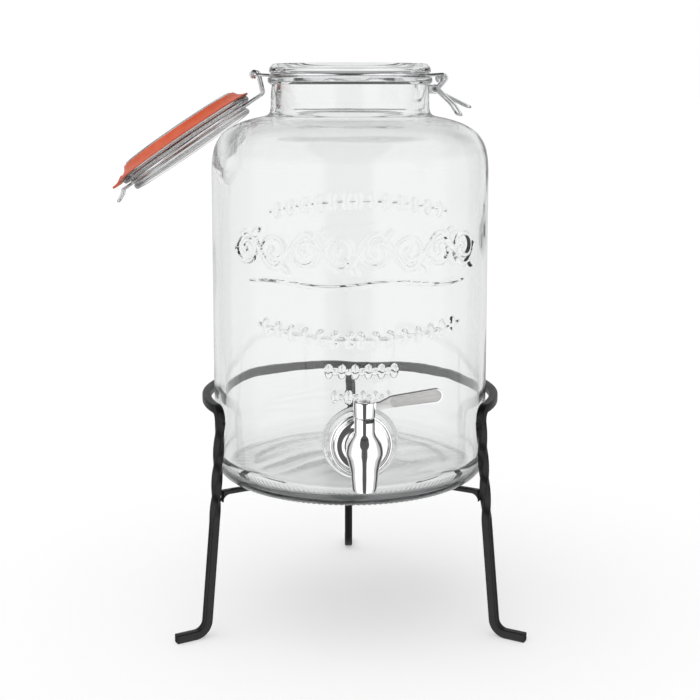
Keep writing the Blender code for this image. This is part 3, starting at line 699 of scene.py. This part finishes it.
def slab(outline, low, high, bevel, lift):
    """An outline extruded between two distances, with its edges rounded by a bevel."""
    layers = [(low, bevel), (low + bevel * 0.3, bevel * 0.3), (low + bevel, 0.0),
              (high - bevel, 0.0), (high - bevel * 0.3, bevel * 0.3), (high, bevel)]
    points, faces = [], []
    count = len(outline)
    for distance, amount in layers:
        points += [tuple(lift(u, v, distance)) for u, v in (inset(outline, amount) if amount else outline)]
    for layer in range(len(layers) - 1):
        here, there = layer * count, (layer + 1) * count
        faces += between(here, there, count)
    faces += [tuple(range(count)), tuple(range((len(layers) - 1) * count, len(layers) * count))]
    return points, faces


def build_stand():
    piece("stand_hoop_bar", hoop(), IN_STAND, "satin_black_paint", "stand", "stand_hoop")
    for name, degrees in LEGS.items():
        azimuth = math.radians(degrees)
        top = HOOP_HEIGHT - GAP - (BAR / 2.0 if name == "back" else HOOP_BEND + 1.0)
        piece(name + "_twisted_leg", leg(azimuth, top), IN_STAND, "satin_black_paint", "stand", name + "_leg")
        piece(name + "_heel_bar", support_arm(azimuth), IN_STAND, "satin_black_paint", "stand",
              name + "_support_arm")


# Tap ------------------------

FLANGE_RADIUS, FLANGE_FACE = 21.4, 110.6
WASHER_BACK = BOSS_FACE + GAP
FLANGE_BACK = WASHER_BACK + 1.6 + GAP
SHANK_RADIUS, SHANK_END, THREAD_PITCH, WATERWAY_RADIUS = 7.8, 80.0, 1.4, 4.3
PLUG_BORE, STEM_BORE, PLUG_STEP = 5.3 + GAP, 3.4 + GAP, 169.6
SPOUT_BOTTOM, STEM_TOP, HANDLE_TOP = 133.4, 183.0, 193.5
BLADE_END, BLADE_END_RADIUS, PANEL_FACE = (46.4, 196.9), 4.9, 1.05


def spout():
    """Stem housing, bulb and tapered spout, turned about the tap's axis."""
    side = [(8.1, SPOUT_BOTTOM + 1.8), (8.8, 141.2), (9.4, 147.1), (10.9, 153.0), (12.2, 157.5),
            (12.4, 160.0), (11.9, 163.5), (10.9, 166.2), (9.2, 168.9), (7.6, 171.2), (6.9, 173.4)]
    outline = [(6.9, SPOUT_BOTTOM), (7.7, SPOUT_BOTTOM + 0.25)] + through(side, 5)
    outline += [(6.9, STEM_TOP - 0.8), (6.5, STEM_TOP - GAP)]
    outline += [(STEM_BORE, STEM_TOP - GAP), (STEM_BORE, PLUG_STEP), (PLUG_BORE, PLUG_STEP),
                (PLUG_BORE, SPOUT_BOTTOM + 0.4), (6.0, SPOUT_BOTTOM)]
    return turned(outline, 96)


def threads(radius, low, high, pitch, depth):
    """The side of a threaded rod as (radius, height) points: a row of rounded ridges."""
    ridge = ((1.0, 0.0), (0.5, 0.22), (0.0, 0.5), (0.5, 0.78))
    return [(radius - depth * sunk, low + pitch * i + pitch * share)
            for i in range(int((high - low) / pitch)) for sunk, share in ridge]


def tap_body():
    body = piece("tap_casting", spout(), ON_SPOUT, "polished_chrome", None)
    side = [(SHANK_RADIUS - 1.0, SHANK_END)]
    side += threads(SHANK_RADIUS, SHANK_END + 0.8, BOSS_FACE - 1.0, THREAD_PITCH, THREAD_PITCH / 2.0)
    side += [(SHANK_RADIUS, BOSS_FACE), (SHANK_RADIUS, FLANGE_FACE + GAP), (10.5, FLANGE_FACE + GAP)]
    side += through([(10.5, FLANGE_FACE + 1.1), (9.6, FLANGE_FACE + 2.6), (9.0, FLANGE_FACE + 5.0),
                     (8.7, FLANGE_FACE + 9.0), (8.6, SPOUT_REACH)], 4)
    arm = turned([(0.0, SHANK_END)] + side + [(0.0, SPOUT_REACH)], 72)
    cut(body, arm, ON_SHANK, "UNION")
    bore = [(0.0, SPOUT_BOTTOM - 2.0), (PLUG_BORE, SPOUT_BOTTOM - 2.0), (PLUG_BORE, PLUG_STEP),
            (STEM_BORE, PLUG_STEP), (STEM_BORE, STEM_TOP + 2.0), (0.0, STEM_TOP + 2.0)]
    cut(body, turned(bore, 96), ON_SPOUT)
    waterway = [(0.0, SHANK_END - 2.0), (WATERWAY_RADIUS, SHANK_END - 2.0), (WATERWAY_RADIUS, SPOUT_REACH),
                (0.0, SPOUT_REACH)]
    cut(body, turned(waterway, 40), ON_SHANK)
    settle(body, 38.0, "jar", "tap_body")


def flange():
    """Round escutcheon: a raised lip, a shallow dish and a flat seat for the tap's shoulder."""
    back = FLANGE_BACK
    outline = [(SHANK_HOLE, back), (FLANGE_RADIUS - 0.5, back), (FLANGE_RADIUS, back + 0.5)]
    outline += [(FLANGE_RADIUS, back + 1.5)] + arc((FLANGE_RADIUS - 1.3, back + 1.9), 1.3, 0.0, 90.0, 6)
    outline += through([(FLANGE_RADIUS - 2.2, back + 3.0), (FLANGE_RADIUS - 3.2, back + 2.6),
                        (FLANGE_RADIUS - 3.8, back + 2.8), (FLANGE_RADIUS - 4.2, back + 3.4),
                        (FLANGE_RADIUS - 5.0, back + 3.75), (13.5, back + 4.2), (11.8, FLANGE_FACE - 0.2)], 4)
    outline += [(11.2, FLANGE_FACE), (SHANK_HOLE, FLANGE_FACE)]
    return turned(outline, 128)


def handle_cap():
    low = STEM_TOP + GAP
    outline = [(1.7, 191.3), (3.4, 191.3), (3.4, HANDLE_TOP - 0.2), (3.6, HANDLE_TOP)]
    outline += [(6.6, HANDLE_TOP)] + arc((6.9, HANDLE_TOP - 0.7), 0.7, 80.0, 0.0, 4)
    outline += [(7.2, low + 0.3), (6.9, low), (STEM_BORE, low), (STEM_BORE, 188.6), (1.7, 188.6)]
    return turned(outline, 96)


def blade_outline():
    outline = through([(5.6, 187.5), (9.1, 187.7), (18.3, 188.9)], 4)
    outline += arc(BLADE_END, BLADE_END_RADIUS, -83.0, 98.0, 18)
    return outline + through([(19.6, 197.6), (16.8, 197.0), (14.6, 195.9), (12.0, 194.6), (9.4, 193.3),
                              (5.6, 193.0)], 3)


def panel_outline(margin):
    """The sunk panel in the blade: round ended, following the blade's edges at a margin."""
    outline = arc(BLADE_END, BLADE_END_RADIUS - margin, -83.0, 98.0, 16)
    return outline + arc((19.9, 193.3), 4.25 - margin, 98.0, 277.0, 14)


def tap_handle():
    """Round cap and lever blade in one casting, with a sunk matt panel on both sides of the blade."""
    handle = piece("tap_lever_casting", handle_cap(), ON_SPOUT, "polished_chrome", None)
    blade = slab(blade_outline(), -1.6, 1.6, 0.55, lambda u, v, d: Vector((u, d, v)))
    cut(handle, blade, ON_SPOUT, "UNION")
    for side in (-1.0, 1.0):
        panel = slab(panel_outline(0.9), side * PANEL_FACE, side * 3.0, 0.0,
                     lambda u, v, d: Vector((u, d, v)))
        cut(handle, panel, ON_SPOUT)
    handle.data.materials.clear()
    for look in ("polished_chrome", "brushed_grey", "satin_chrome"):
        handle.data.materials.append(LOOKS[look])
    level = ON_SPOUT.inverted()
    turn = level.to_3x3()
    for face in handle.data.polygons:
        centre, normal = level @ face.center / MM, turn @ face.normal
        if abs(normal.y) > 0.95 and centre.x > 8.0:
            face.material_index = 1 if abs(abs(centre.y) - PANEL_FACE) < 0.1 else 2
    settle(handle, 38.0, "tap_lever", "tap_handle")


def lock_nut():
    """Hexagon nut with chamfered corners, threaded inside."""
    radius, depth, face = 12.2, 6.0, 92.3
    outline = [(radius * math.cos(math.radians(60.0 * i)), radius * math.sin(math.radians(60.0 * i)))
               for i in range(6)]
    nut = piece("shank_lock_nut", slab(outline, face - depth, face, 0.5, lambda u, v, d: Vector((u, v, d))),
                ON_SHANK, "steel_wire", None)
    side = threads(SHANK_RADIUS + GAP + 0.35, face - depth - 1.0, face + 1.0, THREAD_PITCH, 0.35)
    bore = [(0.0, face - depth - 1.0)] + side + [(SHANK_RADIUS + GAP, face + 1.0), (0.0, face + 1.0)]
    cut(nut, turned(bore, 48), ON_SHANK)
    settle(nut, 38.0, "jar", "lock_nut")


def ring(inner, outer, low, high, edge):
    return turned(softened([(inner, low), (outer, low), (outer, high), (inner, high)], edge), 80)


def painted_slot_shade_tab():
    """A small black piece in the stem housing, just under the cap, painted in as the shade of the stop slot
    there.
    """
    inner, outer, low, high = 6.3, 7.3, 180.2, 182.6
    points, faces = [], []
    steps = 12
    for i in range(steps + 1):
        way = radial(math.radians(4.0 + 50.0 * i / steps))
        points += [tuple(way * r + Vector((0.0, 0.0, z)))
                   for r, z in ((inner, low), (outer, low), (outer, high), (inner, high))]
    for i in range(steps):
        here, there = i * 4, i * 4 + 4
        faces += between(here, there, 4)
    return points, faces + [(0, 1, 2, 3), tuple(steps * 4 + k for k in range(4))]


def build_tap():
    tap_body()
    tap_handle()
    lock_nut()
    piece("tap_escutcheon", flange(), ON_SHANK, "polished_chrome", "jar", "tap_flange")
    piece("front_sealing_washer", ring(SHANK_HOLE, 15.5, WASHER_BACK, WASHER_BACK + 1.6, 0.5), ON_SHANK,
          "clear_rubber", "jar", "front_washer")
    piece("rear_sealing_washer", ring(SHANK_HOLE, 13.0, 92.6, 94.6, 0.5), ON_SHANK, "black_rubber", "jar",
          "rear_washer")
    # A black piece that paints the shade of the stop slot under the cap.
    piece("handle_painted_slot_shade", painted_slot_shade_tab(), ON_SPOUT, "black_rubber", "jar")
    plug = [(3.2, 150.0), (5.0, 150.0), (5.3, 150.3), (5.3, 169.2), (3.4, 169.2), (3.4, 174.8), (2.5, 174.8),
            (2.5, 176.6), (3.4, 176.6), (3.4, 188.2), (1.0, 188.2), (1.0, 180.0), (0.0, 180.0), (0.0, 160.0),
            (3.2, 160.0)]
    piece("turning_valve_plug", turned(plug, 64), ON_SPOUT, "steel_wire", "tap_lever", "valve_plug")
    piece("stem_seal_ring", turned(arc((3.12, 175.7), 0.45, 0.0, 340.0, 17), 64), ON_SPOUT, "black_rubber",
          "tap_lever", "stem_o_ring")
    screw = [(0.0, 182.0), (0.75, 182.0), (0.75, 191.6), (3.0, 191.6), (3.0, 192.8), (2.6, 193.3),
             (1.6, 193.75), (0.0, 193.9)]
    head = piece("handle_fixing_screw", turned(screw, 48), ON_SPOUT, "polished_chrome", "tap_lever",
                 "handle_screw")
    for turn in (0.0, 90.0):
        arm = Matrix.Rotation(math.radians(turn), 3, "Z")
        slot = slab([(-1.5, -0.25), (1.5, -0.25), (1.5, 0.25), (-1.5, 0.25)], 193.1, 195.0, 0.0,
                    lambda u, v, d: arm @ Vector((u, v, d)))
        cut(head, slot, ON_SPOUT)


# Neck band, lid and latch ------------------------

EYE = 2.4
NECK_WIRE_RADIUS, NECK_WIRE_HEIGHT = 60.1, 406.0
LID_WIRE_HEIGHT, LID_GROOVE_WIRE = 14.4, 50.9
HINGE_ARM_Y, HOOK_Y, LATCH_ARM_Y, LATCH_BAR_END = 16.0, 12.0, 25.0, 18.4
LEVER_Y, LEVER_STEP, LINK_Y, LINK_LENGTH = 20.0, 2.4, 17.0, 29.4
LINK_REST = math.radians(-26.0)


def from_axis(point):
    return (point - AXIS) / MM


def circle_path(centre, radius, start, end, y_start, y_end, step=12.0):
    """Points round a centre in the XZ plane, in degrees, while y moves from one value to another."""
    count = max(2, round(abs(end - start) / step))
    path = []
    for i in range(count + 1):
        angle = math.radians(start + (end - start) * i / count)
        y = y_start + (y_end - y_start) * i / count
        path.append(Vector((centre.x + radius * math.cos(angle), y, centre.z + radius * math.sin(angle))))
    return path


def neck_band():
    """One wire: a ring in the neck's groove, a hinge bar at one side and two turned-in pins at the other."""
    latch, hinge = from_axis(LATCH_BAR), from_axis(HINGE)
    latch_angle = math.degrees(math.asin(LATCH_ARM_Y / NECK_WIRE_RADIUS))
    hinge_angle = math.degrees(math.asin(HINGE_ARM_Y / NECK_WIRE_RADIUS))
    band = [Vector((x, y, NECK_WIRE_HEIGHT))
            for x, y in arc((0.0, 0.0), NECK_WIRE_RADIUS, latch_angle, 180.0 - hinge_angle, 72)]
    pin = rounded([(latch.x, LATCH_BAR_END, latch.z), (latch.x, LATCH_ARM_Y, latch.z),
                   (latch.x + 0.6, LATCH_ARM_Y, NECK_WIRE_HEIGHT + 0.8), band[0]], (1.6, 1.3), 6)
    bar = rounded([band[-1], (hinge.x, HINGE_ARM_Y, hinge.z), (hinge.x, 0.0, hinge.z)], (2.2,), 8)
    half = pin + band[1:-1] + bar
    return symmetric_wire(half)


def lid_glass():
    """Heights are from the plug's end, radii from the lid's own axis."""
    outline = [(0.0, 5.0)] + through([(8.0, 4.95), (20.0, 4.4), (36.0, 2.6), (42.5, 0.7)], 4)
    outline += softened([(44.0, 0.0), (46.2, 0.0), (47.3, 1.2), (47.3, 9.0), (55.0, 9.0), (55.8, 9.8),
                         (55.6, 11.6), (54.6, 12.5), (50.6, 12.5), (49.5, 13.3), (49.5, 15.7), (50.3, 16.6),
                         (51.0, 17.4), (51.0, 19.4), (49.9, 20.5), (46.0, 20.5), (45.0, 20.1)], 0.7)
    outline += [(20.0, 20.1), (0.0, 20.1)]
    return turned(outline, 160)


LID_CENTRE = Matrix.Translation((HINGE_REACH * MM, 0.0, 0.0))


def lid_gasket():
    """A rubber ring stretched over the plug, so that it stands as a cone, with a curved pull tab."""
    outline = [(47.8, 2.2), (47.8, 1.5), (48.2, 1.2)]
    outline += through([(48.8, 1.3), (49.6, 2.6), (51.1, 4.5), (53.9, 6.3), (57.0, 7.3)], 4)
    outline += [(57.3, 7.7), (57.1, 8.2)] + through([(55.6, 8.4), (52.6, 7.8), (50.0, 6.0), (48.4, 3.9)], 3)
    band = piece("lid_gasket_ring", turned(outline, 160), IN_LID @ LID_CENTRE, "orange_rubber", None)
    upper = through([(54.2, 6.9), (57.4, 8.6), (60.6, 9.7), (65.0, 10.1)], 4)
    lower = through([(65.0, 8.6), (61.0, 8.2), (57.0, 6.8), (54.2, 5.4)], 4)
    section = upper + [(65.6, 9.4)] + lower
    points, faces = [], []
    rows = 24
    for k in range(rows + 1):
        across = -8.0 + 16.0 * k / rows
        short = 5.5 * abs(across / 8.0) ** 4
        for u, v in section:
            pull = short * max(0.0, (u - 57.0) / 8.6)
            points.append((u - pull, across, v))
    count = len(section)
    for k in range(rows):
        here, there = k * count, (k + 1) * count
        faces += between(here, there, count)
    faces += [tuple(range(count)), tuple(range(rows * count, (rows + 1) * count))]
    cut(band, (points, faces), IN_LID @ LID_CENTRE, "UNION")
    settle(band, 45.0, "lid", "lid_gasket")
    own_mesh(band)


def lid_wire():
    """One wire: a hook round the hinge bar, a ring in the lid's groove with a nose, and the other hook."""
    shoulder = Vector((2.9, HOOK_Y, LID_WIRE_HEIGHT))
    leave = math.atan2(shoulder.z, shoulder.x) + math.acos(EYE / math.hypot(shoulder.x, shoulder.z))
    hook = circle_path(Vector((0.0, 0.0, 0.0)), EYE, 400.0, math.degrees(leave), HOOK_Y, HOOK_Y)
    nose_half = 4.6
    start = math.asin(HOOK_Y / LID_GROOVE_WIRE)
    end = math.pi - math.asin(nose_half / LID_GROOVE_WIRE)
    level = LID_WIRE_HEIGHT
    loop = [Vector((HINGE_REACH + u, v, level)) for u, v in
            arc((0.0, 0.0), LID_GROOVE_WIRE, 180.0 - math.degrees(start), 180.0 - math.degrees(end), 72)]
    rise = rounded([hook[-1], shoulder, loop[0]], (3.0,), 8)
    nose = [(59.4, nose_half, 0.0), (62.2, nose_half, 2.7), (67.5, nose_half - 0.8, 5.2), (67.5, 0.0, 5.2)]
    nose = rounded([loop[-1]] + [(HINGE_REACH + u, v, level + w) for u, v, w in nose], (1.2, 1.2, 1.8), 6)
    half = hook + rise[1:] + loop[1:-1] + nose
    return symmetric_wire(half)


def clamp_lever():
    """One wire, from its pivot: an eye on each pin, a short arm, a coil for the link and the bent handle."""
    arm = (LINK_PIVOT - LATCH_BAR) / MM
    lean = math.degrees(math.atan2(arm.z, arm.x))
    pivot = from_axis(LATCH_BAR)
    bow_points = [Vector((p[0] - pivot.x, LEVER_Y + LEVER_STEP, p[1] - pivot.z))
                  for p in ((69.0, 391.3), (76.0, 384.8), (80.6, 377.4))]
    leave = math.degrees(math.atan2(bow_points[0].z - arm.z - EYE, bow_points[0].x - arm.x - EYE))
    eye = circle_path(Vector((0.0, 0.0, 0.0)), EYE, lean + 380.0, lean + 90.0, LEVER_Y, LEVER_Y)
    coil = circle_path(arm, EYE, lean + 90.0, leave + 90.0 - 360.0, LEVER_Y, LEVER_Y + LEVER_STEP)
    bow = rounded([coil[-1], *bow_points, (bow_points[-1].x, 0.0, bow_points[-1].z)], (20.0, 20.0, 3.2), 8)
    half = eye + coil[:-1] + bow
    return symmetric_wire(half)


def clamp_link():
    """A U of wire, from its pivot, whose two ends turn outwards through the lever's coils."""
    reach = Vector((math.cos(LINK_REST), 0.0, math.sin(LINK_REST))) * LINK_LENGTH
    across = Vector((0.0, 1.0, 0.0))
    half = rounded([across * (LEVER_Y + LEVER_STEP + 3.0), across * LINK_Y, reach + across * LINK_Y, reach],
                   (2.0, 3.0), 8)
    return symmetric_wire(half)


def build_closure():
    piece("neck_wire_band", neck_band(), IN_JAR, "steel_wire", "jar", "neck_band", sharp=60.0)
    piece("lid_glass_plug", lid_glass(), IN_LID @ LID_CENTRE, "clear_glass", "lid", "lid_glass")
    lid_gasket()
    piece("lid_hinge_wire", lid_wire(), IN_LID, "steel_wire", "lid", "lid_wire", sharp=60.0)
    piece("latch_lever_wire", clamp_lever(), Matrix.Translation(LATCH_BAR), "steel_wire", "clamp_lever",
          "clamp_lever", sharp=60.0)
    piece("latch_link_wire", clamp_link(), Matrix.Translation(LINK_PIVOT), "steel_wire", "clamp_link",
          "clamp_link", sharp=60.0)


# Studio ------------------------

CAMERA_BACK, CAMERA_HEIGHT, CAMERA_TILT = 0.968, 0.396, math.radians(7.29)
CAMERA_LENS, CAMERA_SHIFT = 66.9, -0.135
FLOOR_RADIUS, FLOOR_GLOW = 200000.0, 0.4
FLOOR_GREYS = (0.58, 0.61)
KEY_STRENGTH, KEY_WIDTH = 0.9, math.radians(70.0)


def build_camera():
    data = bpy.data.cameras.new("camera")
    data.lens = CAMERA_LENS
    data.shift_y = CAMERA_SHIFT
    data.clip_start, data.clip_end = 0.01, 50.0
    camera = bpy.data.objects.new("camera", data)
    camera.location = AXIS + Vector((0.0, -CAMERA_BACK, CAMERA_HEIGHT))
    camera.rotation_euler = (math.radians(90.0) - CAMERA_TILT, 0.0, 0.0)
    bpy.context.scene.collection.objects.link(camera)
    bpy.context.scene.camera = camera


def build_floor():
    """A wide pale floor that glows a little, as a light table does, and isn't seen in reflections."""
    m = Nodes("pale_floor")
    m.set(Roughness=0.9, Specular_IOR_Level=0.1, Emission_Color=(1.0, 1.0, 1.0, 1.0),
          Emission_Strength=FLOOR_GLOW)
    patches = m.add("ShaderNodeTexNoise", Scale=3.0).outputs["Fac"]
    m.colour(m.blend(patches, *((grey, grey, grey) for grey in FLOOR_GREYS), 0.0, 1.0))
    LOOKS["pale_floor"] = m.material
    outline = [(0.0, -40.0), (FLOOR_RADIUS, -40.0), (FLOOR_RADIUS, 0.0), (0.0, 0.0)]
    floor = piece("studio_floor", turned(outline, 64), Matrix.Identity(4), "pale_floor", None)
    floor.visible_glossy = False


# Brightness of the studio round the object. The first list is by azimuth, counted from the front to the
# back, and the others are by elevation. Reflections show bright softboxes either side of a dark gap. Through
# glass there is a white room with a dim ceiling, and matt surfaces get an even light from all round.
SEEN_IN_MIRRORS = [(0, 0.1), (14, 0.12), (24, 1.55), (78, 1.4), (92, 0.7), (110, 0.55), (118, 0.1),
                   (134, 0.1), (146, 0.5), (164, 0.6), (180, 0.4)]
MIRROR_HEIGHTS = [(-90, 1.0), (50, 1.0), (66, 0.15), (90, 0.1)]
SEEN_THROUGH_GLASS = [(-90, 1.03), (14, 1.03), (30, 0.1), (90, 0.1)]
EVEN_LIGHT = 0.8
DARK_GAP_TURN = math.radians(-1.0)
GAP_WIDENS_ABOVE, GAP_WIDENING = math.radians(15.0), 0.8


def build_world():
    world = bpy.data.worlds.new("studio")
    bpy.context.scene.world = world
    world.use_nodes = True
    tree = world.node_tree

    def calculate(operation, *values):
        node = tree.nodes.new("ShaderNodeMath")
        node.operation = operation
        for socket, value in zip(node.inputs, values):
            if isinstance(value, float):
                socket.default_value = value
            else:
                tree.links.new(value, socket)
        return node.outputs[0]

    def levels(angle, stops, low, high, brightest):
        """Reads a list of (degrees, brightness) at an angle in radians."""
        share = calculate("DIVIDE", calculate("SUBTRACT", angle, math.radians(low)), math.radians(high - low))
        node = tree.nodes.new("ShaderNodeValToRGB")
        ramp = node.color_ramp
        ramp.interpolation = "EASE"
        while len(ramp.elements) < len(stops):
            ramp.elements.new(0.5)
        for element, (degrees, level) in zip(ramp.elements, stops):
            element.position = (degrees - low) / (high - low)
            element.color = (level / brightest, level / brightest, level / brightest, 1.0)
        tree.links.new(share, node.inputs["Fac"])
        return calculate("MULTIPLY", node.outputs["Color"], float(brightest))

    split = tree.nodes.new("ShaderNodeSeparateXYZ")
    tree.links.new(tree.nodes.new("ShaderNodeTexCoord").outputs["Generated"], split.inputs["Vector"])
    x, y, z = (split.outputs[axis] for axis in "XYZ")
    azimuth = calculate("ARCTAN2", x, calculate("MULTIPLY", y, -1.0))
    gap_side = calculate("ABSOLUTE", calculate("SUBTRACT", azimuth, DARK_GAP_TURN))
    elevation = calculate("ARCSINE", z)
    rise = calculate("MAXIMUM", calculate("SUBTRACT", elevation, GAP_WIDENS_ABOVE), 0.0)
    gap_side = calculate("SUBTRACT", gap_side, calculate("MULTIPLY", rise, GAP_WIDENING))
    gap_side = calculate("MAXIMUM", gap_side, 0.0)
    mirrors = calculate("MULTIPLY", levels(gap_side, SEEN_IN_MIRRORS, 0, 180, 4.0),
                        levels(elevation, MIRROR_HEIGHTS, -90, 90, 1.0))
    room = levels(elevation, SEEN_THROUGH_GLASS, -90, 90, 4.0)
    ray = tree.nodes.new("ShaderNodeLightPath").outputs
    reflected = calculate("MULTIPLY", ray["Is Glossy Ray"],
                          calculate("SUBTRACT", 1.0, ray["Is Transmission Ray"]))
    strength = ray["Is Camera Ray"]
    for level, seen in ((EVEN_LIGHT, ray["Is Diffuse Ray"]), (mirrors, reflected),
                        (room, ray["Is Transmission Ray"])):
        strength = calculate("ADD", strength, calculate("MULTIPLY", level, seen))
    background = tree.nodes["Background"]
    background.inputs["Color"].default_value = (1.0, 1.0, 1.0, 1.0)
    tree.links.new(strength, background.inputs["Strength"])


def build_key_light():
    """A broad soft light from above. Only matt surfaces see it, so it leaves no spot in glass or chrome."""
    data = bpy.data.lights.new("key_light", "SUN")
    data.energy = KEY_STRENGTH
    data.angle = KEY_WIDTH
    light = bpy.data.objects.new("key_light", data)
    light.rotation_euler = (math.radians(14.0), math.radians(-18.0), 0.0)
    light.visible_glossy = False
    light.visible_transmission = False
    bpy.context.scene.collection.objects.link(light)


def build_studio():
    build_camera()
    build_floor()
    build_world()
    build_key_light()
    scene = bpy.context.scene
    scene.view_settings.view_transform = "Standard"
    scene.cycles.max_bounces = 24
    scene.cycles.transmission_bounces = 24
    scene.cycles.glossy_bounces = 12


build_jar()
build_stand()
build_tap()
build_closure()
build_studio()
